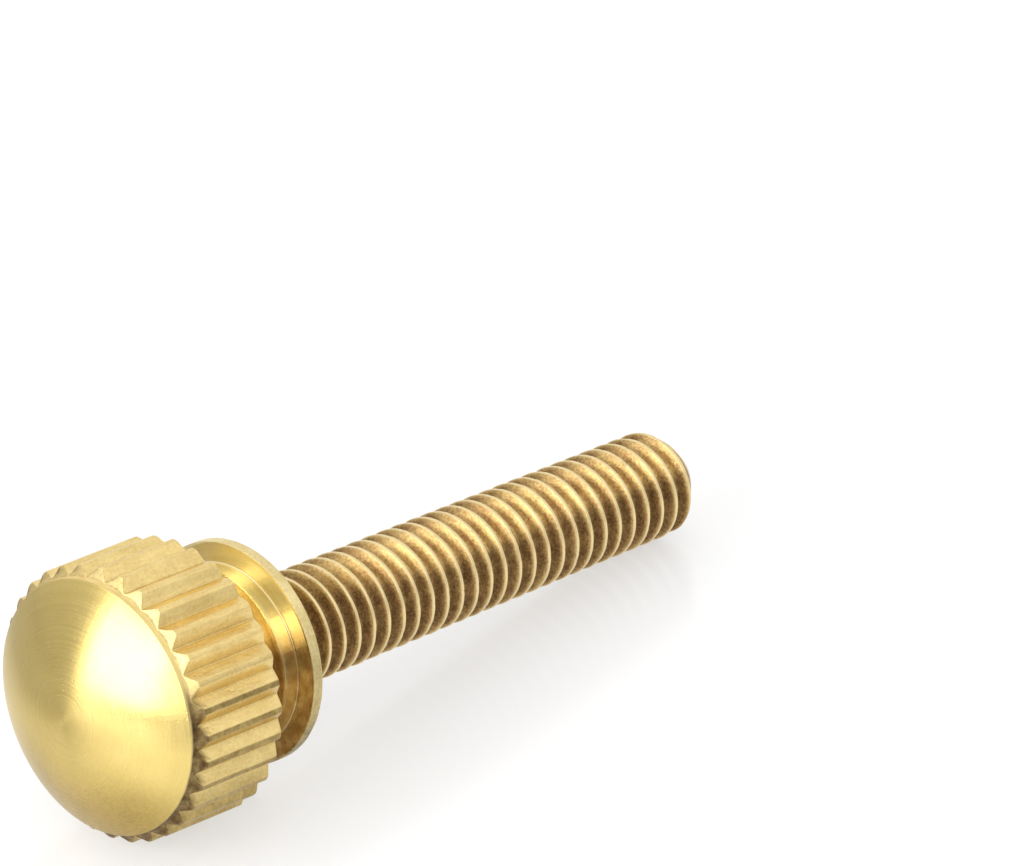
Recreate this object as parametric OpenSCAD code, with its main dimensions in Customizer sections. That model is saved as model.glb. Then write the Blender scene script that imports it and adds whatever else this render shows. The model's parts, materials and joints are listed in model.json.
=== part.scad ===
// Knurled thumb screw with a domed head and a washer collar, turned in one
// piece from brass bar and lying on a level surface.
//
// The screw is drawn upright first, with its axis on Z, the seat of the collar
// at z = 0 and the point upwards. lay_down() then sets it on its side, where it
// rests on the edge of the knurl and the end of the shank, tipped a little
// towards the point.

/* [Thread] */
// Outside diameter of the thread
thread_d = 3.84; // [3:0.02:5]
// Length from the seat of the collar to the end of the point
thread_l = 21; // [10:0.5:35]
// Length of the cone at the point
point_l = 1; // [0.4:0.1:1.4]
// Diameter of the flat at the end of the point
point_d = 2; // [1.2:0.1:2.6]

/* [Collar] */
// Diameter of the collar
collar_d = 7.7; // [6.6:0.1:9.4]
// Thickness of the collar
collar_t = 0.42; // [0.3:0.02:1]
// Diameter of the neck behind the collar
neck_d = 6.26; // [4.6:0.02:7.4]
// Length of the straight part of the neck
neck_l = 0.73; // [0.3:0.01:1.2]

/* [Head] */
// Diameter over the lands of the knurl
head_d = 9.5; // [9:0.1:12]
// Length of the lands of the knurl
knurl_l = 3.37; // [2:0.1:6]
// Diameter where the cone behind the knurl meets its shoulder
cone_d = 7.9; // [6.4:0.1:8.4]
// Length of the cone from the neck to the shoulder
cone_l = 1.32; // [0.9:0.02:2]
// Length of the shoulder, from the cone out to the lands
shoulder_l = 0.33; // [0.2:0.01:0.8]
// Radius of the hollow between cone and shoulder
hollow_r = 1.4; // [0.4:0.1:2]
// Step from the floors of the grooves in to the rim of the dome
rim_inset = 0.04; // [0:0.01:0.2]
// Length of the step behind the rim of the dome
step_l = 0.2; // [0.05:0.05:0.4]
// Length of the bevel from the step out to the lands
bevel_l = 0.25; // [0.15:0.05:0.8]
// Height of the dome above its rim
dome_h = 1.48; // [0.6:0.02:3]

/* [Knurl] */
// Number of teeth round the head
teeth = 32; // [24:1:40]
// Width of the land left on each tooth
land_w = 0.2; // [0.1:0.02:0.3]
// Depth of the grooves below the lands
groove_depth = 0.33; // [0.15:0.01:0.4]

/* [Hidden] */
$fn = 96;

// Radii of the turned outline.
thread_r = thread_d / 2;
point_r = point_d / 2;
collar_r = collar_d / 2;
neck_r = neck_d / 2;
cone_r = cone_d / 2;
head_r = head_d / 2;
floor_r = head_r - groove_depth;
rim_r = floor_r - rim_inset;

// Heights along the axis, from the seat of the collar.
neck_z = -collar_t;
cone_z = neck_z - neck_l;
shoulder_z = cone_z - cone_l;
lands_top_z = shoulder_z - shoulder_l;
lands_end_z = lands_top_z - knurl_l;
step_z = lands_end_z - bevel_l;
rim_z = step_z - step_l;
apex_z = rim_z - dome_h;
point_z = thread_l - point_l;

// The dome is a cap of a sphere that passes through its rim.
dome_r = (rim_r * rim_r + dome_h * dome_h) / (2 * dome_h);
dome_centre_z = apex_z + dome_r;

// One groove of the knurl, as seen along the axis.
tooth_angle = 360 / teeth;
land_angle = 2 * asin(land_w / (2 * head_r));
groove_half_angle = (tooth_angle - land_angle) / 2;
past = 0.5;

// Lying down, a groove faces the ground, so the two land corners beside it
// carry the head, unless the collar stands out past them. The last full turn of
// the shank carries the point.
head_rest_r = head_r * cos(groove_half_angle);
knurl_tip_angle = atan((head_rest_r - thread_r) / (point_z - lands_top_z));
collar_tip_angle = atan((collar_r - thread_r) / point_z);
tip_angle = max(knurl_tip_angle, collar_tip_angle);
seat_height = point_z * sin(tip_angle) + thread_r * cos(tip_angle);

// Half way between the ends of the lying screw, measured from the seat.
low_x = dome_centre_z * cos(tip_angle) - dome_r;
high_x = thread_l * cos(tip_angle) + point_r * sin(tip_angle);
middle_x = (low_x + high_x) / 2;

// Direction from one point of an outline to another, as a unit vector.
function towards(a, b) = (b - a) / norm(b - a);

// Fills the inside corner b of the outline a, b, c with a hollow of radius r.
module hollow_corner(a, b, c, r) {
    to_a = towards(b, a);
    to_c = towards(b, c);
    half = acos(to_a * to_c) / 2;
    reach = r / tan(half);
    centre = b + towards([0, 0], to_a + to_c) * r / sin(half);
    difference() {
        polygon([b, b + to_a * reach, centre, b + to_c * reach]);
        translate(centre) circle(r);
    }
}

// Half outline of everything turned behind the rim of the dome, from the axis
// out: step, bevel, lands, shoulder, cone, neck, collar, shank and point.
module turned_outline() {
    polygon([
        [0, rim_z],
        [rim_r, rim_z],
        [rim_r, step_z],
        [head_r, lands_end_z],
        [head_r, lands_top_z],
        [cone_r, shoulder_z],
        [neck_r, cone_z],
        [neck_r, neck_z],
        [collar_r, neck_z],
        [collar_r, 0],
        [thread_r, 0],
        [thread_r, point_z],
        [point_r, thread_l],
        [0, thread_l]
    ]);
    hollow_corner(
        [head_r, lands_top_z],
        [cone_r, shoulder_z],
        [neck_r, cone_z],
        hollow_r
    );
}

// The round cap that closes the head.
module dome() {
    intersection() {
        translate([0, 0, dome_centre_z]) sphere(dome_r);
        translate([0, 0, apex_z - past]) cylinder(h = dome_h + past, r = rim_r);
    }
}

// One straight groove of V section, cut from beyond the lands to its floor.
module groove() {
    edge_x = head_r * cos(groove_half_angle);
    edge_y = head_r * sin(groove_half_angle);
    flank = towards([floor_r, 0], [edge_x, edge_y]);
    outer_x = head_r + past;
    outer_y = flank[1] / flank[0] * (outer_x - floor_r);
    translate([0, 0, rim_z - past])
        linear_extrude(height = shoulder_z - rim_z + 2 * past)
            polygon([[floor_r, 0], [outer_x, outer_y], [outer_x, -outer_y]]);
}

// Sets the upright screw down on its side, point towards +X.
module lay_down() {
    translate([-middle_x, 0, seat_height]) rotate([0, 90 + tip_angle, 0]) children();
}

module thumb_screw() {
    color("goldenrod") lay_down() {
        difference() {
            rotate_extrude() turned_outline();
            for (i = [0 : teeth - 1]) {
                rotate([0, 0, i * tooth_angle]) groove();
            }
        }
        dome();
    }
}

thumb_screw();
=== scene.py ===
"""Looks of a turned brass thumb screw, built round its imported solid.

The screw lies on a pale floor, on the edge of its knurl and the end of its shank. Its skin is one
closed mesh: rings carry the dome, the knurled teeth, the neck and the collar, and a helical grid
carries the thread. Sizes are in millimetres along the screw's own axis, with the seat of the collar
at 0 and the point upwards, and the skin is laid down into the frame of the solid, in metres, at the
very end. Angles round the axis are in radians, and the angle 0 faces the ground.
"""

import json
import logging
import math
from dataclasses import dataclass, field
from enum import Enum

import bpy
import numpy as np
from mathutils import Matrix, Vector


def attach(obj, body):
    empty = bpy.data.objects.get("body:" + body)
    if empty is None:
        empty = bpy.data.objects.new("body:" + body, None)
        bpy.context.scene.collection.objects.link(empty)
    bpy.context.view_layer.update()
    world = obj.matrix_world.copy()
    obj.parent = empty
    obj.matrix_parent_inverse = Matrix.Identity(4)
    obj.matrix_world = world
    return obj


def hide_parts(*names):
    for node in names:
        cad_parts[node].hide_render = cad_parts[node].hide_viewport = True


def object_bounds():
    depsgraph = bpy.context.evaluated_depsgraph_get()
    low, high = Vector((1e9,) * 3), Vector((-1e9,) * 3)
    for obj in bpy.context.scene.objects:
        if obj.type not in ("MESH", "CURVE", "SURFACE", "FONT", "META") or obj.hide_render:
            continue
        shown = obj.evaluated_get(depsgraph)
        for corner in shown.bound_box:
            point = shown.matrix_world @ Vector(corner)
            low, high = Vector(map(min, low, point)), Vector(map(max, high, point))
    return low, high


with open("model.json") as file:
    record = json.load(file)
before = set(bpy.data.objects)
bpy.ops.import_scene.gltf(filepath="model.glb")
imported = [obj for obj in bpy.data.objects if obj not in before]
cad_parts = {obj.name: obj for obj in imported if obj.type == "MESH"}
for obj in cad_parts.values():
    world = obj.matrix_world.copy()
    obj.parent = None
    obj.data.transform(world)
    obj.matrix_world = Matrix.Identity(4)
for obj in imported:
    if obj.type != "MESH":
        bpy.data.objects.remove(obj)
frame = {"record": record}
CAD_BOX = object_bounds()

MM = 0.001
NODE = "thumb_screw"
BODY = "root"
TURN = 2 * math.pi

# Rows of random numbers along the axis, after which an unevenness repeats.
LATTICE_ROWS = 64
# Keeps a point without faces from being divided by nothing.
NO_LENGTH = 1e-20
# Places of a Mix node's factor and two colours, and of the colour it puts out.
MIX_INPUTS = (0, 6, 7)
MIX_RESULT = 2
# How far apart nodes stand in the editor, and how many stand in a row.
NODE_GAPS = (180, -220)
NODES_IN_ROW = 8

Numbers = np.ndarray | float
Span = tuple[float, float]
Triple = tuple[float, float, float]
Socket = bpy.types.NodeSocket
Source = Socket | float | tuple[float, ...]

logging.basicConfig(level=logging.INFO, format="%(message)s")
log = logging.getLogger("thumb_screw")


class Zone(Enum):
    """The stretches of the skin that each have a finish of their own."""

    DOME = "brass_domed_end"
    BEVEL = "brass_bevel"
    KNURL = "brass_knurl"
    CONE = "brass_cone"
    NECK = "brass_neck"
    COLLAR = "brass_collar"
    THREAD = "brass_thread"
    POINT = "brass_point"

    @property
    def number(self) -> int:
        """Place of the zone in the list, which is its material's place in the mesh."""
        return list(Zone).index(self)


# --------------------------------------------------------------------------- small helpers


def smoothstep(low: float, high: float, value: Numbers) -> Numbers:
    """Rises from 0 at low to 1 at high with flat ends: t * t * (3 - 2 t), t held from 0 to 1.

    Args:
        low: The value at which the rise starts.
        high: The value at which it ends.
        value: A number or any array.

    Returns:
        The rise for each value.
    """
    t = np.clip((value - low) / (high - low), 0.0, 1.0)
    return t * t * (3.0 - 2.0 * t)


def ripple(theta: np.ndarray, along: np.ndarray, turns: int, pitch: float, seed: int) -> np.ndarray:
    """Smooth random unevenness round and along the axis, from -1 to 1.

    Random numbers stand on a lattice with `turns` cells round the axis, which closes on itself, and
    cells of length `pitch` along it. Between them the value follows a smoothstep both ways.

    Args:
        theta: Angle round the axis.
        along: Distance along the axis or the outline, of the same shape.
        turns: Number of lattice cells round the axis.
        pitch: Length of a lattice cell along it.
        seed: Seed of the random numbers.

    Returns:
        An array of the shape of theta.
    """
    lattice = np.random.default_rng(seed).uniform(-1.0, 1.0, (LATTICE_ROWS, turns))
    u = np.mod(theta / TURN, 1.0) * turns
    v = along / pitch
    u_cell = np.floor(u).astype(int)
    v_cell = np.floor(v).astype(int)
    u_part = smoothstep(0.0, 1.0, u - u_cell)
    v_part = smoothstep(0.0, 1.0, v - v_cell)
    u_next = (u_cell + 1) % turns
    u_cell = u_cell % turns
    v_next = (v_cell + 1) % LATTICE_ROWS
    v_cell = v_cell % LATTICE_ROWS
    near = lattice[v_cell, u_cell] * (1 - u_part) + lattice[v_cell, u_next] * u_part
    far = lattice[v_next, u_cell] * (1 - u_part) + lattice[v_next, u_next] * u_part
    return near * (1 - v_part) + far * v_part


def direction(azimuth: float, elevation: float) -> Vector:
    """Unit vector from the screw towards a place in the studio.

    Args:
        azimuth: Degrees round the vertical: 0 is -Y and 90 is +X.
        elevation: Degrees above the floor.

    Returns:
        (sin a cos e, -cos a cos e, sin e).
    """
    a = math.radians(azimuth)
    e = math.radians(elevation)
    return Vector((math.sin(a) * math.cos(e), -math.cos(a) * math.cos(e), math.sin(e)))


def put_in_scene(name: str, data: bpy.types.ID) -> bpy.types.Object:
    """Makes an object of a mesh, a lamp or a camera and links it into the scene.

    Args:
        name: Name of the object.
        data: What the object shows.

    Returns:
        The object, at the origin.
    """
    made = bpy.data.objects.new(name, data)
    bpy.context.scene.collection.objects.link(made)
    return made


def set_up(made: bpy.types.Object, place: Vector, back: Vector, roll: float = 0.0) -> None:
    """Stands a lamp or a camera up in the studio.

    Args:
        made: The lamp or the camera, which looks along its own -Z.
        place: Where it stands, in metres.
        back: Direction that its back faces.
        roll: Degrees that it is turned about its own line of sight.
    """
    made.location = place
    made.rotation_mode = "QUATERNION"
    about = Matrix.Rotation(math.radians(roll), 3, "Z").to_quaternion()
    made.rotation_quaternion = back.to_track_quat("Z", "Y") @ about


# --------------------------------------------------------------------------- how the screw lies


@dataclass(frozen=True)
class Lie:
    """How the screw lies, and the size of the shank that it lies on.

    Attributes:
        seat: Middle of the collar's seat, in metres.
        tip: Angle by which the axis tips down towards the point.
        shank_r: Outside radius of the shank.
        shank_l: Length of the shank from the seat to the start of the point.
    """

    seat: Triple
    tip: float
    shank_r: float
    shank_l: float

    @classmethod
    def of_record(cls, record: dict) -> "Lie":
        """Reads the lie from the pin mount on the shank, whose place is the middle of its wall.

        Args:
            record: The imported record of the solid.

        Returns:
            The lie of the screw.
        """
        shank = next(m for m in record["mounts"] if m["name"] == "shank")
        axis = Vector(shank["axis"])
        length = shank["dims"]["length_mm"]
        seat = Vector(shank["pos_m"]) - axis * (length * MM / 2)
        return cls(tuple(seat), math.atan2(-axis.z, axis.x), shank["dims"]["r_mm"], length)

    @property
    def axis(self) -> Triple:
        """Direction from the seat to the point, as the screw lies."""
        return (math.cos(self.tip), 0.0, -math.sin(self.tip))

    @property
    def turn(self) -> float:
        """Angle about +Y that takes the screw from upright to lying."""
        return math.pi / 2 + self.tip

    def place(self, points: np.ndarray) -> np.ndarray:
        """Lays upright points down: turned about +Y, then moved to the seat.

        Args:
            points: Points in millimetres, one to a row.

        Returns:
            The points in metres, in the frame of the solid.
        """
        turn = np.array(Matrix.Rotation(self.turn, 3, "Y"))
        return points @ turn.T * MM + np.array(self.seat)


# --------------------------------------------------------------------------- the skin as a mesh


@dataclass
class Skin:
    """A closed surface gathered from grids of points, with the zone of every face.

    Each point also carries two values from 0 to 1 for the finishes. Its recess is 0 on the outer
    surface and 1 at the bottom of a groove. The other value says how much darker the metal is
    painted: painted shade on the head and the point, and on the thread partly tarnished metal and
    partly painted shade.
    """

    points: list[np.ndarray] = field(default_factory=list)
    recess: list[np.ndarray] = field(default_factory=list)
    stain: list[np.ndarray] = field(default_factory=list)
    faces: list[np.ndarray] = field(default_factory=list)
    zones: list[np.ndarray] = field(default_factory=list)
    count: int = 0

    def add(
        self,
        theta: Numbers,
        radius: Numbers,
        height: Numbers,
        recess: Numbers = 0.0,
        stain: Numbers = 0.0,
    ) -> np.ndarray:
        """Adds points given round the axis: (r cos theta, r sin theta, z).

        Args:
            theta: Angles round the axis.
            radius: Distances from the axis.
            height: Places along the axis.
            recess: Depth in a groove, as a share of the groove's depth.
            stain: Share of painted shade, on the thread partly of tarnished metal.

        Returns:
            The numbers of the new points, in the shape of the arrays.
        """
        theta, radius, height, recess, stain = np.broadcast_arrays(theta, radius, height, recess, stain)
        xyz = np.stack([radius * np.cos(theta), radius * np.sin(theta), height], axis=-1)
        self.points.append(xyz.reshape(-1, 3))
        self.recess.append(recess.ravel())
        self.stain.append(stain.ravel())
        numbers = np.arange(self.count, self.count + theta.size).reshape(theta.shape)
        self.count += theta.size
        return numbers

    def add_faces(self, triangles: np.ndarray, zones: np.ndarray) -> None:
        """Adds triangles, leaving out those that have shrunk to an edge or a point.

        Args:
            triangles: Point numbers, three to a row, anticlockwise as seen from outside.
            zones: Zone number of each triangle, or one for all.
        """
        a, b, c = triangles.T
        whole = (a != b) & (b != c) & (c != a)
        self.faces.append(triangles[whole])
        self.zones.append(np.broadcast_to(zones, a.shape)[whole])

    def sew(self, numbers: np.ndarray, zones: np.ndarray | int) -> None:
        """Sews rows of points into a surface, with two triangles between four neighbours.

        Args:
            numbers: Point numbers, one row per ring. The last column is where the first ends up
                after a turn, so it repeats the first column, or climbs along a helix.
            zones: Zone number of each band between two rows, or one for all.
        """
        a = numbers[:-1, :-1]
        b = numbers[:-1, 1:]
        c = numbers[1:, 1:]
        d = numbers[1:, :-1]
        triangles = np.stack([np.stack([a, b, c], -1), np.stack([a, c, d], -1)], axis=2)
        each = np.broadcast_to(zones, len(a))
        self.add_faces(triangles.reshape(-1, 3), np.repeat(each, a.shape[1] * 2))

    def sew_rings(self, rings: np.ndarray, zones: np.ndarray | int) -> None:
        """Sews plain rings, whose last point meets the first of the same ring.

        Args:
            rings: Point numbers, one row per ring.
            zones: Zone number of each band between two rings, or one for all.
        """
        self.sew(np.column_stack([rings, rings[:, :1]]), zones)

    def halve(self, fine: np.ndarray, coarse: np.ndarray, zone: Zone) -> None:
        """Sews a ring to one with half as many points: three triangles to each coarse point.

        Args:
            fine: Point numbers of the finer ring.
            coarse: Point numbers of the coarser ring, each beside an even point of the other.
            zone: Zone of the triangles.
        """
        even = fine[0::2]
        odd = fine[1::2]
        ahead = np.roll(even, -1)
        coarse_ahead = np.roll(coarse, -1)
        fan = [
            np.stack([even, odd, coarse], -1),
            np.stack([odd, ahead, coarse_ahead], -1),
            np.stack([coarse, odd, coarse_ahead], -1),
        ]
        self.add_faces(np.concatenate(fan), np.array(zone.number))

    def cap(self, ring: np.ndarray, height: float, zone: Zone, upwards: bool) -> None:
        """Closes a ring with a fan of triangles round a new point on the axis.

        Args:
            ring: Point numbers of the ring.
            height: Height of the new point.
            zone: Zone of the triangles.
            upwards: True where the fan faces up the axis, and False where it faces down.
        """
        pole = self.add(np.array(0.0), 0.0, height)
        middle = np.full(ring.shape, int(pole))
        ahead = np.roll(ring, -1)
        order = [middle, ring, ahead] if upwards else [middle, ahead, ring]
        self.add_faces(np.stack(order, -1), np.array(zone.number))

    def normals(self, points: np.ndarray, faces: np.ndarray) -> np.ndarray:
        """Normal of each point: the sum of its faces' normals, each as long as its face is large.

        Args:
            points: Places of all points.
            faces: Point numbers, three to a face.

        Returns:
            A unit vector for each point.
        """
        corner = points[faces]
        face_normal = np.cross(corner[:, 1] - corner[:, 0], corner[:, 2] - corner[:, 0])
        total = np.zeros_like(points)
        for k in range(3):
            np.add.at(total, faces[:, k], face_normal)
        return total / np.maximum(np.linalg.norm(total, axis=1, keepdims=True), NO_LENGTH)

    def build(self, name: str, lie: Lie, materials: list[bpy.types.Material]) -> bpy.types.Object:
        """Makes the mesh object, laid down in the solid's frame.

        Args:
            name: Name of the object.
            lie: How the screw lies.
            materials: One material for each zone, in the order of Zone.

        Returns:
            The object, at the origin, with its place in its mesh.
        """
        points = lie.place(np.concatenate(self.points))
        faces = np.concatenate(self.faces)
        mesh = bpy.data.meshes.new(name)
        mesh.vertices.add(len(points))
        mesh.vertices.foreach_set("co", points.astype(np.float32).ravel())
        mesh.loops.add(faces.size)
        mesh.loops.foreach_set("vertex_index", faces.astype(np.int32).ravel())
        mesh.polygons.add(len(faces))
        mesh.polygons.foreach_set("loop_start", np.arange(0, faces.size, 3, dtype=np.int32))
        mesh.polygons.foreach_set("material_index", np.concatenate(self.zones).astype(np.int32))
        mesh.polygons.foreach_set("use_smooth", np.ones(len(faces), bool))
        for material in materials:
            mesh.materials.append(material)
        for key, values in (("recess", self.recess), ("stain", self.stain)):
            layer = mesh.attributes.new(key, "FLOAT", "POINT")
            layer.data.foreach_set("value", np.concatenate(values).astype(np.float32))
        mesh.update(calc_edges=True)
        mesh.validate()
        mesh.normals_split_custom_set_from_vertices(self.normals(points, faces).tolist())
        return put_in_scene(name, mesh)


@dataclass
class Rings:
    """Rings of points down the turned outline, from the apex of the dome to the root of the shank.

    Radius and height may differ from column to column, so an edge that wanders round the axis,
    such as the saw-tooth end of the knurl, still runs along one ring.

    Attributes:
        theta: Angles of the columns.
        radius: Distances from the axis, ring by ring.
        height: Heights, ring by ring.
        bands: Zone number of each band between two rings.
    """

    theta: np.ndarray
    radius: list[np.ndarray] = field(default_factory=list)
    height: list[np.ndarray] = field(default_factory=list)
    bands: list[int] = field(default_factory=list)

    def start(self, radius: float, height: float) -> None:
        """Sets the first ring, which is level and round."""
        self.radius.append(np.full(self.theta.shape, radius))
        self.height.append(np.full(self.theta.shape, height))

    def line_to(self, radius: Numbers, height: Numbers, zone: Zone, steps: int = 1) -> None:
        """Goes straight from the last ring to a new one, in equal steps.

        Args:
            radius: Distance from the axis, for all columns or for each.
            height: Height, for all columns or for each.
            zone: Zone of the bands on the way.
            steps: Number of those bands.
        """
        share = np.arange(1, steps + 1)[:, None] / steps
        radius = self.radius[-1] + share * (radius - self.radius[-1])
        height = self.height[-1] + share * (height - self.height[-1])
        self.radius.extend(radius)
        self.height.extend(height)
        self.bands.extend([zone.number] * steps)

    def arc_to(self, centre: Span, radius: float, angles: Span, zone: Zone, steps: int) -> None:
        """Follows an arc in the plane of the outline: centre + radius * (cos a, sin a).

        Args:
            centre: Distance from the axis and height of the arc's centre.
            radius: Radius of the arc.
            angles: First and last angle, from the outward direction towards the point.
            zone: Zone of the bands along the arc.
            steps: Number of those bands.
        """
        for a in np.linspace(*angles, steps + 1)[1:]:
            self.line_to(centre[0] + radius * math.cos(a), centre[1] + radius * math.sin(a), zone)

    def stack(self) -> tuple[np.ndarray, np.ndarray]:
        """All rings as two arrays, radius and height, with a row for each ring."""
        return np.array(self.radius), np.array(self.height)


# --------------------------------------------------------------------------- the head


@dataclass(frozen=True)
class Knurl:
    """The straight knurl: V-shaped grooves with narrow lands between them.

    Shade is painted on a land or an upper flank where it faces the ground, where it would mirror
    the shaded floor. An upper flank faces back past its groove by the lean, and a lower flank on
    past it. Lower flanks get the most painted shade where they face straight down, and the lands
    right below get less of it, so they are painted lighter. Each span of cosines says how far
    round a change reaches: it starts at the first and is whole at the second.

    Attributes:
        teeth: Number of teeth.
        head_r: Radius over the lands.
        floor_r: Radius at the floors of the grooves.
        land_w: Width of a land.
        floor_w: Width of a groove's floor.
        corner: Width of a land's broken corners.
        lean: Angle between a flank's facing and its groove's.
        ground_cosines: Where shade starts to be painted on the walls that face the ground.
        taken_off: Share of the painted shade that is taken off the lowest walls, to paint them lighter.
        lighter_cosines: Where that share is taken off.
        lower_shade: Painted shade of a lower flank, and what it gains at the bottom.
        lower_cosines: Where it gains that.
    """

    teeth: int = 32
    head_r: float = 4.75
    floor_r: float = 4.42
    land_w: float = 0.2
    floor_w: float = 0.05
    corner: float = 0.045
    lean: float = 0.84
    ground_cosines: Span = (-0.52, -0.28)
    taken_off: float = 0.22
    lighter_cosines: Span = (0.2, 0.6)
    lower_shade: Span = (0.2, 0.6)
    lower_cosines: Span = (0.5, 0.9)

    @property
    def tooth(self) -> float:
        """Angle from one groove to the next."""
        return TURN / self.teeth

    @property
    def half_groove(self) -> float:
        """Angle from the middle of a groove to the edge of its land."""
        return (self.tooth - 2 * math.asin(self.land_w / (2 * self.head_r))) / 2

    def from_floor(self, theta: np.ndarray) -> np.ndarray:
        """Angle from the middle of the nearest groove, with a sign."""
        return np.mod(theta + self.tooth / 2, self.tooth) - self.tooth / 2

    def columns(self) -> np.ndarray:
        """Places the columns: eight to a tooth, at the floor, the flanks and the land's corners.

        Returns:
            The angle of each column.
        """
        floor = self.floor_w / 2 / self.floor_r
        corner = self.corner / 2 / self.head_r
        edge = self.half_groove
        next_edge = self.tooth - edge
        one = np.array([
            -floor,
            floor,
            edge * 0.5,
            edge - corner,
            edge + corner,
            next_edge - corner,
            next_edge + corner,
            self.tooth - edge * 0.5,
        ])
        return (np.arange(self.teeth)[:, None] * self.tooth + one[None]).ravel()

    def ground_shade(self, theta: np.ndarray) -> np.ndarray:
        """How much shade is painted on the wall of the knurl, from 0 to 1.

        Args:
            theta: Angles round the axis.

        Returns:
            The painted shade at each angle.
        """
        # Painted shade: walls that face the ground are darkened as if they mirrored the shaded floor,
        # and the lowest walls are painted lighter.
        past_floor = self.from_floor(theta)
        flank = np.abs(past_floor) < self.half_groove
        facing = theta - self.lean * (flank & (past_floor > 0))
        wall = 1.0 - self.taken_off * smoothstep(*self.lighter_cosines, np.cos(theta))
        least, more = self.lower_shade
        lower = least + more * smoothstep(*self.lower_cosines, np.cos(theta + self.lean))
        shaded = np.where(flank & (past_floor < 0), lower, wall)
        return smoothstep(*self.ground_cosines, np.cos(facing)) * shaded

    def radius(self, theta: np.ndarray) -> np.ndarray:
        """Distance from the axis to the wall of the knurl.

        A flank is a straight line from the groove's floor F to the land's edge E. Where the line
        makes the angle b with the middle of the groove, its radius at the angle t from there is
        F sin b / sin(b - t). The land is round, at the full radius of the head.

        Args:
            theta: Angles round the axis.

        Returns:
            The radius at each angle.
        """
        edge_x = self.head_r * math.cos(self.half_groove) - self.floor_r
        edge_y = self.head_r * math.sin(self.half_groove)
        slant = math.atan2(edge_y, edge_x)
        t = np.minimum(np.abs(self.from_floor(theta)), self.half_groove)
        return np.minimum(self.floor_r * math.sin(slant) / np.sin(slant - t), self.head_r)


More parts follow.
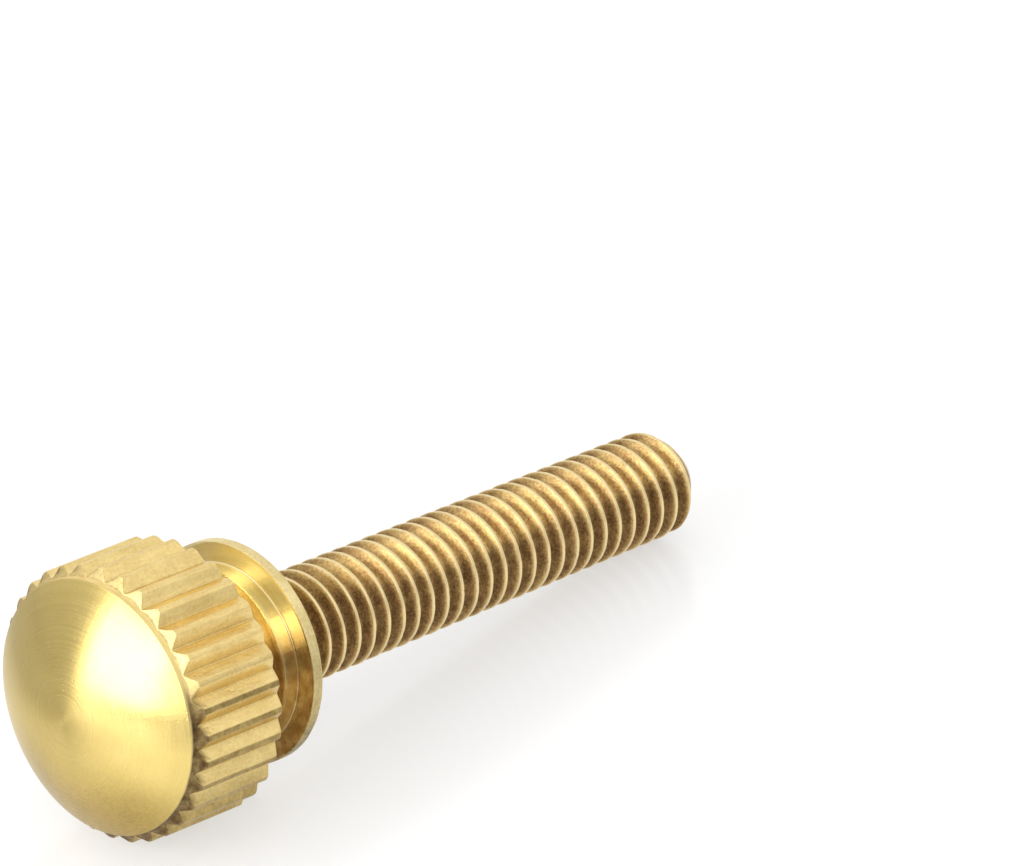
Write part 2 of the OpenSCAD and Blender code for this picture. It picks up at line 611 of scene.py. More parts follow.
@dataclass(frozen=True)
class Head:
    """The domed and knurled head, its neck and its collar, down to the root of the shank.

    Attributes:
        knurl: The teeth.
        dome_h: Height of the dome above its rim.
        dome_steps: Bands from the apex to the rim of the dome.
        rim_inset: Step from the floors of the grooves in to the rim of the dome.
        rim_round: Radius that rounds off the rim.
        rim_end: Angle at which that rounding ends.
        step_l: Length of the step behind the rim.
        step_rise: How far the step leans out on its length.
        bevel_l: Length of the bevel from the step out to the lands.
        bevel_wear: Most wear on the ends of the teeth at the bevel.
        knurl_l: Length of the lands.
        shoulder_l: Length of the shoulder, from the cone out to the lands.
        shoulder_wear: Most wear on the ends of the teeth at the shoulder.
        cone_r: Radius where the cone meets its shoulder.
        cone_l: Length of the cone.
        hollow_r: Radius of the hollow between cone and shoulder.
        neck_r: Radius of the neck.
        neck_l: Length of the straight part of the neck.
        collar_r: Radius of the collar.
        collar_t: Thickness of the collar.
        collar_edge: Width of the collar's broken edges.
        burr: Most that a burr adds to the edge nearest the neck, as a share.
        chip: Most that a chip adds to the edge at the seat, as a share.
        fillet: Radius between the neck and the collar.
        edge: Width of the teeth's broken edges.
        edge_shares: Shares of it that are taken off the bevel, the lands and the shoulder.
        wear_shares: Shares of the wear that the walls lose at the bevel and at the shoulder.
        shank_root_r: Radius at the root of the thread.
        seat_inset: How far the last ring on the seat is from that root.
    """

    knurl: Knurl = Knurl()
    dome_h: float = 1.48
    dome_steps: int = 40
    rim_inset: float = 0.04
    rim_round: float = 0.04
    rim_end: float = -0.15
    step_l: float = 0.2
    step_rise: float = 0.01
    bevel_l: float = 0.25
    bevel_wear: float = 0.02
    knurl_l: float = 3.37
    shoulder_l: float = 0.33
    shoulder_wear: float = 0.03
    cone_r: float = 3.95
    cone_l: float = 1.32
    hollow_r: float = 1.4
    neck_r: float = 3.13
    neck_l: float = 0.73
    collar_r: float = 3.85
    collar_t: float = 0.42
    collar_edge: float = 0.0198
    burr: float = 0.9
    chip: float = 1.4
    fillet: float = 0.07
    edge: float = 0.022
    edge_shares: Triple = (0.7, 0.6, 0.9)
    wear_shares: Span = (0.3, 0.5)
    shank_root_r: float = 1.89
    seat_inset: float = 0.4

    @property
    def neck_z(self) -> float:
        """Height of the collar's underside."""
        return -self.collar_t

    @property
    def cone_z(self) -> float:
        """Height at which the neck widens into the cone."""
        return self.neck_z - self.neck_l

    @property
    def shoulder_z(self) -> float:
        """Height at which the cone meets the shoulder."""
        return self.cone_z - self.cone_l

    @property
    def lands_top_z(self) -> float:
        """Height of the lands' ends nearest the collar."""
        return self.shoulder_z - self.shoulder_l

    @property
    def lands_end_z(self) -> float:
        """Height of the lands' ends nearest the dome."""
        return self.lands_top_z - self.knurl_l

    @property
    def step_z(self) -> float:
        """Height at which the step behind the dome's rim turns into the bevel."""
        return self.lands_end_z - self.bevel_l

    @property
    def rim_z(self) -> float:
        """Height of the dome's rim."""
        return self.step_z - self.step_l

    @property
    def apex_z(self) -> float:
        """Height of the middle of the dome."""
        return self.rim_z - self.dome_h

    @property
    def rim_r(self) -> float:
        """Radius of the dome's rim."""
        return self.knurl.floor_r - self.rim_inset

    @property
    def dome_r(self) -> float:
        """Radius of the sphere that the dome is a cap of: (rim squared + height squared) / 2 h."""
        return (self.rim_r**2 + self.dome_h**2) / (2 * self.dome_h)

    def bevel_at(self, radius: Numbers) -> Numbers:
        """Height of the bevel at a radius."""
        slope = self.bevel_l / (self.knurl.head_r - self.rim_r)
        return self.step_z + (radius - self.rim_r) * slope

    def shoulder_at(self, radius: Numbers) -> Numbers:
        """Height of the shoulder at a radius."""
        slope = self.shoulder_l / (self.knurl.head_r - self.cone_r)
        return self.lands_top_z + (self.knurl.head_r - radius) * slope

    def hollow(self) -> tuple[Span, Span, float]:
        """The arc that blends the shoulder into the cone.

        The arc touches both lines: its centre lies on their bisector, outside the metal, at the
        distance r / sin(half the angle between them) from their corner.

        Returns:
            The arc's centre, its first and last angle, and the radius where it leaves the shoulder.
        """
        corner = np.array([self.cone_r, self.shoulder_z])
        to_land = np.array([self.knurl.head_r, self.lands_top_z]) - corner
        to_neck = np.array([self.neck_r, self.cone_z]) - corner
        to_land /= np.linalg.norm(to_land)
        to_neck /= np.linalg.norm(to_neck)
        half = math.acos(float(to_land @ to_neck)) / 2
        middle = to_land + to_neck
        centre = corner + middle / np.linalg.norm(middle) * self.hollow_r / math.sin(half)
        leave = corner + to_land * self.hollow_r / math.tan(half)
        reach = corner + to_neck * self.hollow_r / math.tan(half)
        angles = tuple(math.atan2(*(end - centre)[::-1]) for end in (leave, reach))
        return (float(centre[0]), float(centre[1])), angles, float(leave[0])

    def rings(self) -> Rings:
        """Builds the rings of the head in order, from the apex to the root of the shank.

        Returns:
            The rings, one column for each angle of the knurl.
        """
        rings = Rings(self.knurl.columns())
        self._dome(rings)
        self._teeth(rings)
        self._waist(rings)
        self._collar(rings)
        return rings

    def _dome(self, rings: Rings) -> None:
        """The cap of the sphere, out to its rim, which is rounded off by an arc that touches it.

        Args:
            rings: The rings to start.
        """
        centre = self.apex_z + self.dome_r
        inner_r = self.dome_r - self.rim_round
        last = math.asin((self.rim_r - self.rim_round) / inner_r)
        first = last / self.dome_steps
        down = -math.pi / 2
        rings.start(self.dome_r * math.sin(first), centre - self.dome_r * math.cos(first))
        cap = (down + first, down + last)
        rings.arc_to((0.0, centre), self.dome_r, cap, Zone.DOME, steps=self.dome_steps - 1)
        rim = (self.rim_r - self.rim_round, centre - inner_r * math.cos(last))
        rings.arc_to(rim, self.rim_round, (down + last, self.rim_end), Zone.DOME, steps=5)

    def _teeth(self, rings: Rings) -> None:
        """The step, the bevel, the teeth and the shoulder. The last two cut the teeth to gables.

        A gable's edge is broken: the walls stop short of it by a share of the edge's width, and
        by wear that wanders round the head.

        Args:
            rings: The rings to carry on.
        """
        theta = rings.theta
        wall = self.knurl.radius(theta)
        at_bevel, at_land, at_shoulder = (share * self.edge for share in self.edge_shares)
        bevel_worn, shoulder_worn = self.wear_shares
        gable = self.bevel_at(wall)
        taken_off = self.bevel_wear * np.abs(ripple(theta, gable, turns=96, pitch=1.0, seed=11))
        inner = wall - at_bevel - taken_off
        rings.line_to(self.rim_r + self.step_rise, self.step_z, Zone.BEVEL, steps=2)
        rings.line_to(inner, self.bevel_at(inner), Zone.BEVEL, steps=4)
        rings.line_to(wall - bevel_worn * taken_off, gable + at_bevel, Zone.BEVEL)
        gable = self.shoulder_at(wall)
        taken_off = self.shoulder_wear * np.abs(ripple(theta, gable, turns=128, pitch=1.0, seed=12))
        outer = wall - at_shoulder - shoulder_worn * taken_off
        rings.line_to(wall, gable - at_land - taken_off, Zone.KNURL, steps=14)
        rings.line_to(outer, self.shoulder_at(outer), Zone.KNURL)

    def _waist(self, rings: Rings) -> None:
        """The shoulder below the teeth, the hollow, the cone and the neck.

        Args:
            rings: The rings to carry on.
        """
        centre, angles, leave_r = self.hollow()
        rings.line_to(leave_r, self.shoulder_at(leave_r), Zone.CONE, steps=2)
        rings.arc_to(centre, self.hollow_r, angles, Zone.CONE, steps=10)
        rings.line_to(self.neck_r, self.cone_z, Zone.CONE, steps=5)
        rings.line_to(self.neck_r, self.neck_z - self.fillet, Zone.NECK, steps=5)
        corner = (self.neck_r + self.fillet, self.neck_z - self.fillet)
        rings.arc_to(corner, self.fillet, (math.pi, math.pi / 2), Zone.NECK, steps=5)

    def _collar(self, rings: Rings) -> None:
        """The collar: underside, rim with broken edges, and the seat down to the shank.

        Args:
            rings: The rings to carry on.
        """
        theta = rings.theta
        edge = self.collar_edge
        nick = np.clip(ripple(theta, theta, turns=170, pitch=1.0, seed=21), 0.0, 1.0)
        dent = np.clip(ripple(theta, theta, turns=140, pitch=1.0, seed=22), 0.0, 1.0)
        rim = self.collar_r - edge * (1.0 + self.burr * nick**2)
        rings.line_to(rim, self.neck_z, Zone.NECK, steps=8)
        rings.line_to(self.collar_r, self.neck_z + edge, Zone.COLLAR)
        rings.line_to(self.collar_r, -edge * (1.0 + self.chip * dent), Zone.COLLAR, steps=6)
        rings.line_to(self.collar_r - edge, 0.0, Zone.COLLAR)
        rings.line_to(self.shank_root_r + self.seat_inset, 0.0, Zone.COLLAR, steps=10)


@dataclass(frozen=True)
class HeadPaintedShade:
    """Where shade is painted on the head, as darker colour, in shares from 0 to 1.

    The patches stand in for the shade behind the dome's rim, round the neck and on the sides that
    face the ground. A patch is a smooth step in the cosine of the angle from the middle of its side,
    times a smooth step along the outline. Each span says where such a step starts and where it is
    whole.

    Attributes:
        head: The head.
        theta: Angles round the axis of the points that it is worked out for.
        radius: Their distances from the axis.
        height: Their heights.
        slack: Length by which heights may miss an end that they belong to.
        margin: Width of the strips at the rims of the dome and the collar that get painted shade with
            them.
        side: Angle of the side where shade is painted behind the rim and round the neck.
        notch_cosines: Reach of the painted shade behind the rim.
        notch_from: Where that painted shade starts, from the rim.
        notch_to: Where it ends, from the lands' ends.
        neck_cosines: Reach of the painted shade round the neck.
        neck_share: Strength of the painted shade on the neck.
        fillet_share: Strength of the painted shade in the corner with the collar.
        teeth_share: Strength of the painted shade on the teeth.
        dome_side: Angle of the dome's shaded side.
        dome_cosines: Reach of the painted shade on the dome.
        dome_radii: Radii over which the painted shade on the dome grows.
        dome_share: Strength of the painted shade on the dome.
        rim_cosines: Where the painted shade on the collar's rim starts, and where it deepens.
        rim_shares: What each of these adds.
    """

    head: Head
    theta: np.ndarray
    radius: np.ndarray
    height: np.ndarray
    slack: float = 0.01
    margin: float = 0.05
    side: float = 5.32
    notch_cosines: Span = (0.42, 0.6)
    notch_from: Span = (0.0, 0.08)
    notch_to: Span = (-0.07, 0.02)
    neck_cosines: Span = (0.15, 0.6)
    neck_share: float = 0.4
    fillet_share: float = 0.95
    teeth_share: float = 0.95
    dome_side: float = -0.05
    dome_cosines: Span = (0.25, 0.9)
    dome_radii: Span = (0.8, 3.8)
    dome_share: float = 0.85
    rim_cosines: tuple[Span, Span] = ((-0.45, -0.2), (0.2, 0.5))
    rim_shares: Span = (0.5, 0.45)

    def recess(self) -> np.ndarray:
        """Depth below the lands as a share of the grooves' depth, and 0 away from the knurl.

        Returns:
            The depth at each point.
        """
        head = self.head
        share = (head.knurl.head_r - self.radius) / (head.knurl.head_r - head.knurl.floor_r)
        on_bevel = self.height > head.step_z + self.slack
        on_shoulder = self.height < head.shoulder_z + self.slack
        return np.where(on_bevel & on_shoulder, np.clip(share, 0.0, 1.0), 0.0)

    def stain(self) -> np.ndarray:
        """Painted shade of the head: the strongest of its patches.

        Returns:
            The share of painted shade at each point.
        """
        patches = [self._notch(), self._neck(), self._teeth(), self._dome(), self._rim()]
        return np.maximum.reduce(patches)

    def _notch(self) -> np.ndarray:
        """Painted shade between the rim of the dome and the ends of the teeth, on the shaded side.

        Returns:
            The share at each point.
        """
        rim_z = self.head.rim_z
        lands_z = self.head.lands_end_z
        rise = smoothstep(rim_z + self.notch_from[0], rim_z + self.notch_from[1], self.height)
        fall = 1.0 - smoothstep(lands_z + self.notch_to[0], lands_z + self.notch_to[1], self.height)
        return rise * fall * smoothstep(*self.notch_cosines, np.cos(self.theta - self.side))

    def _neck(self) -> np.ndarray:
        """Painted shade that grows along the cone to the neck, on the shaded side, darkest in the
        corner.

        Returns:
            The share at each point.
        """
        head = self.head
        grown = smoothstep(head.shoulder_z, head.cone_z, self.height)
        grown = grown * (self.height < head.neck_z + self.slack)
        grown = grown * smoothstep(*self.neck_cosines, np.cos(self.theta - self.side))
        in_corner = self.height > head.neck_z - head.fillet
        return grown * np.where(in_corner, self.fillet_share, self.neck_share)

    def _teeth(self) -> np.ndarray:
        """Painted shade on the teeth that face the ground, fading in along the bevel.

        Returns:
            The share at each point.
        """
        head = self.head
        shaded = head.knurl.ground_shade(self.theta) * (self.height < head.shoulder_z)
        return self.teeth_share * (shaded * smoothstep(head.step_z, head.lands_end_z, self.height))

    def _dome(self) -> np.ndarray:
        """Painted shade on the lower side of the dome, fading in from its middle.

        Returns:
            The share at each point.
        """
        low = smoothstep(*self.dome_cosines, np.cos(self.theta - self.dome_side))
        low = low * (self.height < self.head.rim_z + self.margin)
        return self.dome_share * (low * smoothstep(*self.dome_radii, self.radius))

    def _rim(self) -> np.ndarray:
        """Painted shade on the collar's rim where it faces the ground, in two stages.

        Returns:
            The share at each point.
        """
        down = np.cos(self.theta)
        stages = zip(self.rim_shares, self.rim_cosines)
        shaded = sum(share * smoothstep(*span, down) for share, span in stages)
        shaded = shaded * (self.radius > self.head.collar_r - self.margin)
        return shaded * (self.height > self.head.neck_z - self.slack)


# --------------------------------------------------------------------------- the threaded shank


@dataclass(frozen=True)
class Thread:
    """A right-hand thread on the shank, with a run-out at the seat and a bevelled point.

    Attributes:
        lie: Gives the radius and the length of the shank.
        root_r: Radius of the plain root next to the seat.
        pitch: Distance from crest to crest.
        depth: Depth of the root below the crests.
        crest_w: Width of the flat of a crest.
        crest_break: Width and depth of a crest's broken edge.
        flank_degrees: Lean of the flanks.
        root_round: Height over which the root is round.
        root_bend: A point of that round: its share of the way to the lowest, and its height.
        start: Height above the seat of a crest at the angle 0.
        taper: What the crests' radius gains at the seat and at the point.
        root_flare: What the plain root's radius gains at the seat.
        marks: Most that turning marks add to it.
        marks_at: Heights of the rings that carry the marks.
        plain_l: Length of the plain root.
        runout_l: Length over which the thread reaches its depth.
        root_reach: Heights over which the crests rise from the plain root.
        wear_reach: Depth below a crest that its wear reaches.
        wear: Most wear on a crest.
        wander: Unevenness of the crests.
        rough: Most roughness of the turns next to the seat.
        rough_reach: Heights over which it fades.
        point_l: Length of the bevelled point.
        point_r: Radius of its flat end.
        point_from: Where its finish takes over, from the end of the shank.
        rim_drop: How far the last of the grid is from the end.
        end_gap: What keeps the flat end inside the solid.
        flat_r: Radius of a ring on the flat end.
        nub_r: Radius of the nub in the middle of the flat end.
        nub_h: Height of the nub.
        nub_bend: Shares of its radius and height at which its side bends inwards.
    """

    lie: Lie
    root_r: float
    pitch: float = 0.71
    depth: float = 0.385
    crest_w: float = 0.075
    crest_break: Span = (0.024, 0.02)
    flank_degrees: float = 30.0
    root_round: float = 0.035
    root_bend: Span = (0.45, 0.008)
    start: float = 0.385
    taper: Span = (0.035, -0.065)
    root_flare: float = 0.05
    marks: float = 0.012
    marks_at: Triple = (0.04, 0.13, 0.22)
    plain_l: float = 0.34
    runout_l: float = 1.5
    root_reach: Span = (0.3, 0.8)
    wear_reach: float = 0.06
    wear: float = 0.03
    wander: float = 0.004
    rough: float = 0.05
    rough_reach: Span = (0.9, 2.4)
    point_l: float = 1.0
    point_r: float = 1.0
    point_from: float = 0.35
    rim_drop: float = 0.03
    end_gap: float = 0.001
    flat_r: float = 0.62
    nub_r: float = 0.28
    nub_h: float = 0.05
    nub_bend: Span = (0.55, 0.8)

    @property
    def end_z(self) -> float:
        """Height of the end of the point."""
        return self.lie.shank_l + self.point_l

    @property
    def rim_z(self) -> float:
        """Height of the ring that the last turns of the grid end on."""
        return self.end_z - self.rim_drop

    def section(self) -> tuple[np.ndarray, np.ndarray]:
        """One turn's section: place along the axis from the crest's middle, and depth below it.

        The crest is flat with its edges broken, the flanks are straight, and the root is round.
        The far side of the groove mirrors the near side.

        Returns:
            Places and depths, both for one pitch.
        """
        half = self.pitch / 2
        crest = self.crest_w / 2
        break_w, break_d = self.crest_break
        shares = np.array([0.0, 0.33, 0.67, 1.0])
        drops = break_d + shares * (self.depth - self.root_round - break_d)
        flank = crest + break_w + (drops - break_d) * math.tan(math.radians(self.flank_degrees))
        bend, lift = self.root_bend
        side = np.array([crest, *flank, flank[-1] + bend * (half - flank[-1])])
        down = np.array([0.0, *drops, self.depth - lift])
        places = np.concatenate([side, [half], self.pitch - side[::-1]])
        depths = np.concatenate([down, [self.depth], down[::-1]])
        return places, depths

    def sew_onto(self, skin: Skin, seat_ring: np.ndarray) -> None:
        """Adds the plain root, the thread and the point to the skin.

        Args:
            skin: The skin to add to.
            seat_ring: Numbers of the points on the seat, one for each column.
        """
        theta = np.arange(len(seat_ring)) * TURN / len(seat_ring)
        root = self._plain_root(skin, theta, seat_ring)
        rim = skin.add(theta, self._cone(self.rim_z), self.rim_z)
        self._helix(skin, theta, root, rim)
        self._flat_end(skin, theta, rim)

    def _plain_root(self, skin: Skin, theta: np.ndarray, seat_ring: np.ndarray) -> np.ndarray:
        """Adds the short length at the seat that has turning marks and no thread.

        Args:
            skin: The skin to add to.
            theta: Angles of the columns.
            seat_ring: Numbers of the points on the seat.

        Returns:
            Numbers of its last ring.
        """
        foot = skin.add(theta, self.root_r + self.root_flare, 0.0)
        z = np.array([*self.marks_at, self.plain_l])[:, None] + 0 * theta
        marks = self.marks * ripple(np.broadcast_to(theta, z.shape), z, turns=24, pitch=0.1, seed=31)
        base = skin.add(theta, self.root_r + marks, z)
        skin.sew_rings(np.vstack([seat_ring, foot, base]), Zone.COLLAR.number)
        return base[-1]

    def _helix(self, skin: Skin, theta: np.ndarray, root: np.ndarray, rim: np.ndarray) -> None:
        """Adds the thread and the bevel of the point as one grid.

        Each row of the grid stays at one place in the thread's section and climbs one pitch in a
        turn, so its last column meets the first column of the row one turn on. Rows that would
        pass the plain root or the end of the point end on its ring instead.

        Args:
            skin: The skin to add to.
            theta: Angles of the columns.
            root: Numbers of the last ring of the plain root.
            rim: Numbers of the ring at the end of the point.
        """
        places, depths = self.section()
        turns = math.ceil(self.end_z / self.pitch) + 2
        offset = (np.arange(turns)[:, None] * self.pitch + places[None]).ravel() - self.pitch
        z = offset[:, None] + self.start + self.pitch * theta[None] / TURN
        drop = np.broadcast_to(np.tile(depths, turns)[:, None], z.shape)
        held = np.clip(z, self.plain_l, self.rim_z)
        radius = self._radius(np.broadcast_to(theta, z.shape), held, drop)
        recess = drop / self.depth
        stain = ThreadTarnishAndShade(self).stain(theta, held, recess)
        numbers = skin.add(theta, radius, held, recess, stain)
        numbers = np.where(z <= self.plain_l, root[None], numbers)
        numbers = np.where(z >= self.rim_z, rim[None], numbers)
        ahead = np.concatenate([numbers[len(places):, 0], np.full(len(places), rim[0])])
        middle = (held[:-1].mean(axis=1) + held[1:].mean(axis=1)) / 2
        threaded = middle < self.lie.shank_l + self.point_from
        zones = np.where(threaded, Zone.THREAD.number, Zone.POINT.number)
        skin.sew(np.column_stack([numbers, ahead]), zones)

    def _flat_end(self, skin: Skin, theta: np.ndarray, rim: np.ndarray) -> None:
        """Closes the point with a flat and the nub that the parting tool leaves.

        Args:
            skin: The skin to add to.
            theta: Angles of the columns.
            rim: Numbers of the ring at the end of the point.
        """
        flat_z = self.end_z - self.end_gap
        flat = skin.add(theta, np.array([[self.point_r], [self.flat_r], [self.nub_r]]), flat_z)
        inwards, up = self.nub_bend
        nub = skin.add(theta, self.nub_r * inwards, flat_z + self.nub_h * up)
        skin.sew_rings(np.vstack([rim, flat, nub]), Zone.POINT.number)
        skin.cap(nub, flat_z + self.nub_h, Zone.POINT, upwards=True)

    def _cone(self, z: Numbers) -> Numbers:
        """Radius of the bevel at the point: it falls in a straight line to the flat end."""
        return self.point_r + (self.end_z - z) * (self.lie.shank_r - self.point_r) / self.point_l

    def _radius(self, theta: np.ndarray, z: np.ndarray, drop: np.ndarray) -> np.ndarray:
        """Radius of the thread: crest less the section's depth, which fades in at the seat.

        Args:
            theta: Angles round the axis.
            z: Places along it.
            drop: Depth below the crest of each point.

        Returns:
            The radius, with small wear on the crests and never beyond the point's bevel.
        """
        depth = drop * smoothstep(self.plain_l, self.plain_l + self.runout_l, z)
        crest = 1.0 - np.clip(drop / self.wear_reach, 0.0, 1.0)
        wear = self.wear * np.clip(ripple(theta, z, turns=70, pitch=0.35, seed=41), 0.0, 1.0) ** 3
        rough = self.rough * np.abs(ripple(theta, z, turns=110, pitch=0.2, seed=42))
        rough = rough * (1.0 - smoothstep(*self.rough_reach, z))
        wander = self.wander * (1.0 + ripple(theta, z, turns=9, pitch=0.9, seed=43))
        crest_r = self.lie.shank_r + np.interp(z, (0.0, self.lie.shank_l), self.taper)
        crest_r = crest_r + (self.root_r - crest_r) * (1.0 - smoothstep(*self.root_reach, z))
        radius = crest_r - depth - crest * (wear + wander) - rough
        return np.minimum(radius, self._cone(z))


@dataclass(frozen=True)
class ThreadTarnishAndShade:
    """Where the thread is darkened: all but its crests, and less on a strip along its top.

    The darkening of the grooves is partly tarnished metal and partly painted shade, the lighter
    strip along the top is painted light, and the darkening of the point's bevel is painted shade.

    Attributes:
        thread: The thread.
        below_crest: Recess over which the darkening sets in.
        strip_side: Angle from the top of the shank to the strip, away from the seat.
        strip_swing: How much less that angle is at the seat.
        swing_reach: Heights over which the strip swings round.
        strip_cosines: Reach of the strip, as cosines of the angle from its middle.
        strip_least: Strength of the strip at the seat.
        strip_reach: Heights over which it gathers strength.
        strip_share: How much of the darkening the strip takes off, which paints it lighter.
        point_share: Strength of the painted shade on the bevel of the point.
        point_rise: Where that starts and is whole, from the end of the shank.
        point_fall: Where it starts to fade and is gone, from the end of the point.
    """

    thread: Thread
    below_crest: Span = (0.02, 0.12)
    strip_side: float = 0.35
    strip_swing: float = 0.5
    swing_reach: Span = (0.0, 9.0)
    strip_cosines: Span = (0.7, 0.95)
    strip_least: float = 0.15
    strip_reach: Span = (0.5, 6.0)
    strip_share: float = 0.75
    point_share: float = 0.85
    point_rise: Span = (0.1, 0.3)
    point_fall: Span = (-0.2, -0.08)

    def stain(self, theta: np.ndarray, height: np.ndarray, recess: np.ndarray) -> np.ndarray:
        """Darkening of the thread, partly tarnished metal and partly painted shade, and painted shade
        on the bevel of its point.

        Args:
            theta: Angles round the axis.
            height: Heights.
            recess: Depth below the crests, as a share of the thread's depth.

        Returns:
            The share of darkening at each point.
        """
        shank_l = self.thread.lie.shank_l
        end_z = self.thread.end_z
        side = self.strip_side - self.strip_swing * (1.0 - smoothstep(*self.swing_reach, height))
        gathered = self.strip_least + (1.0 - self.strip_least) * smoothstep(*self.strip_reach, height)
        # Painted light: the strip along the top of the shank keeps less of the darkening, so it is
        # painted lighter where the light falls.
        strip = smoothstep(*self.strip_cosines, -np.cos(theta - side)) * gathered
        # The grooves darken below the crests: partly tarnished metal, partly painted shade.
        grooves = smoothstep(*self.below_crest, recess) * (1.0 - self.strip_share * strip)
        grooves = grooves * (height < shank_l + self.thread.point_from)
        # Painted shade on the bevel of the point, less along the top strip.
        rise = smoothstep(shank_l + self.point_rise[0], shank_l + self.point_rise[1], height)
        fall = 1.0 - smoothstep(end_z + self.point_fall[0], end_z + self.point_fall[1], height)
        return np.maximum(grooves, self.point_share * rise * fall * (1.0 - strip))


# --------------------------------------------------------------------------- finishes


def rgba(colour: Triple) -> tuple[float, ...]:
    """A colour with its alpha."""
    return (*colour, 1.0)


@dataclass
class Wiring:
    """Places nodes in a tree and links them, so that a material reads as a few lines."""

    tree: bpy.types.NodeTree
    placed: int = 0

    @classmethod
    def of(cls, owner: bpy.types.Material | bpy.types.World) -> "Wiring":
        """Starts on the emptied tree of a material or a world."""
        owner.use_nodes = True
        owner.node_tree.nodes.clear()
        return cls(owner.node_tree)

    def node(self, kind: str, **settings: object) -> bpy.types.Node:
        """Adds a node.

        Args:
            kind: Its type, without the word that all shader nodes start with.
            settings: Its properties.

        Returns:
            The node.
        """
        made = self.tree.nodes.new(f"ShaderNode{kind}")
        row, column = divmod(self.placed, NODES_IN_ROW)
        made.location = (NODE_GAPS[0] * column, NODE_GAPS[1] * row)
        self.placed += 1
        for key, value in settings.items():
            setattr(made, key, value)
        return made

    def feed(self, target: Socket, source: Source) -> None:
        """Links a socket to an input, or sets the input to a plain value.

        Args:
            target: The input.
            source: The socket or the value.
        """
        if isinstance(source, Socket):
            self.tree.links.new(source, target)
        else:
            target.default_value = source

    def fed(self, kind: str, inputs: dict[str, Source], **settings: object) -> bpy.types.Node:
        """Adds a node and feeds its inputs.

        Args:
            kind: Its type.
            inputs: What each named input is fed.
            settings: Its properties.

        Returns:
            The node.
        """
        made = self.node(kind, **settings)
        for name, source in inputs.items():
            self.feed(made.inputs[name], source)
        return made

    def combine(self, kind: str, *values: Source, **settings: object) -> bpy.types.NodeOutputs:
        """Adds a node and feeds its inputs in order.

        Args:
            kind: Its type.
            values: What the first inputs are fed.
            settings: Its properties.

        Returns:
            The node's outputs.
        """
        made = self.node(kind, **settings)
        for target, value in zip(made.inputs, values):
            self.feed(target, value)
        return made.outputs

    def maths(self, operation: str, *values: Source) -> Socket:
        """One Math node."""
        return self.combine("Math", *values, operation=operation)[0]

    def vector(self, x: Source, y: Source, z: Source) -> Socket:
        """A vector from three values."""
        return self.combine("CombineXYZ", x, y, z)[0]

    def along(self, vector: Source, way: Triple) -> Socket:
        """How far a vector reaches along a direction."""
        return self.combine("VectorMath", vector, way, operation="DOT_PRODUCT")["Value"]

    def between(self, operation: str, first: Source, second: Source) -> Socket:
        """One Vector Math node with two vectors, whose result is a vector."""
        return self.combine("VectorMath", first, second, operation=operation)["Vector"]

    def noise(self, vector: Source, scale: Source, detail: float, roughness: float = 0.5) -> Socket:
        """The value of a noise texture.

        Args:
            vector: Where it is read.
            scale: Lumps in a unit of length.
            detail: How many finer layers it has.
            roughness: How strong those are.

        Returns:
            A value from 0 to 1.
        """
        inputs = {"Vector": vector, "Scale": scale, "Detail": detail, "Roughness": roughness}
        return self.fed("TexNoise", inputs).outputs["Fac"]

    def ramp(
        self, value: Source, low: float, high: float, to_low: float = 0.0, to_high: float = 1.0
    ) -> Socket:
        """Maps a value from one range to another in a straight line, held at both ends.

        Args:
            value: The value.
            low: Where the first range starts.
            high: Where it ends.
            to_low: What low becomes.
            to_high: What high becomes.

        Returns:
            The value in the second range.
        """
        names = ("Value", "From Min", "From Max", "To Min", "To Max")
        inputs = dict(zip(names, (value, low, high, to_low, to_high)))
        return self.fed("MapRange", inputs).outputs["Result"]

    def mix(self, factor: Source, first: Source, second: Source) -> Socket:
        """A mix of two colours.

        Args:
            factor: Share of the second, from 0 to 1.
            first: A colour.
            second: A colour.

        Returns:
            Their mix.
        """
        made = self.node("Mix", data_type="RGBA")
        for number, value in zip(MIX_INPUTS, (factor, first, second)):
            self.feed(made.inputs[number], value)
        return made.outputs[MIX_RESULT]

    def group(self, tree: bpy.types.NodeTree, **values: Source) -> bpy.types.NodeOutputs:
        """Places a node group.

        Args:
            tree: The group.
            values: What its inputs are fed, with underscores for the spaces in their names.

        Returns:
            The group's outputs.
        """
        made = self.node("Group")
        made.node_tree = tree
        for key, value in values.items():
            self.feed(made.inputs[key.replace("_", " ")], value)
        return made.outputs

    def finish(self, surface: Socket, kind: str = "OutputMaterial") -> None:
        """Shows the shader on the surface, or in the world."""
        self.fed(kind, {"Surface": surface})


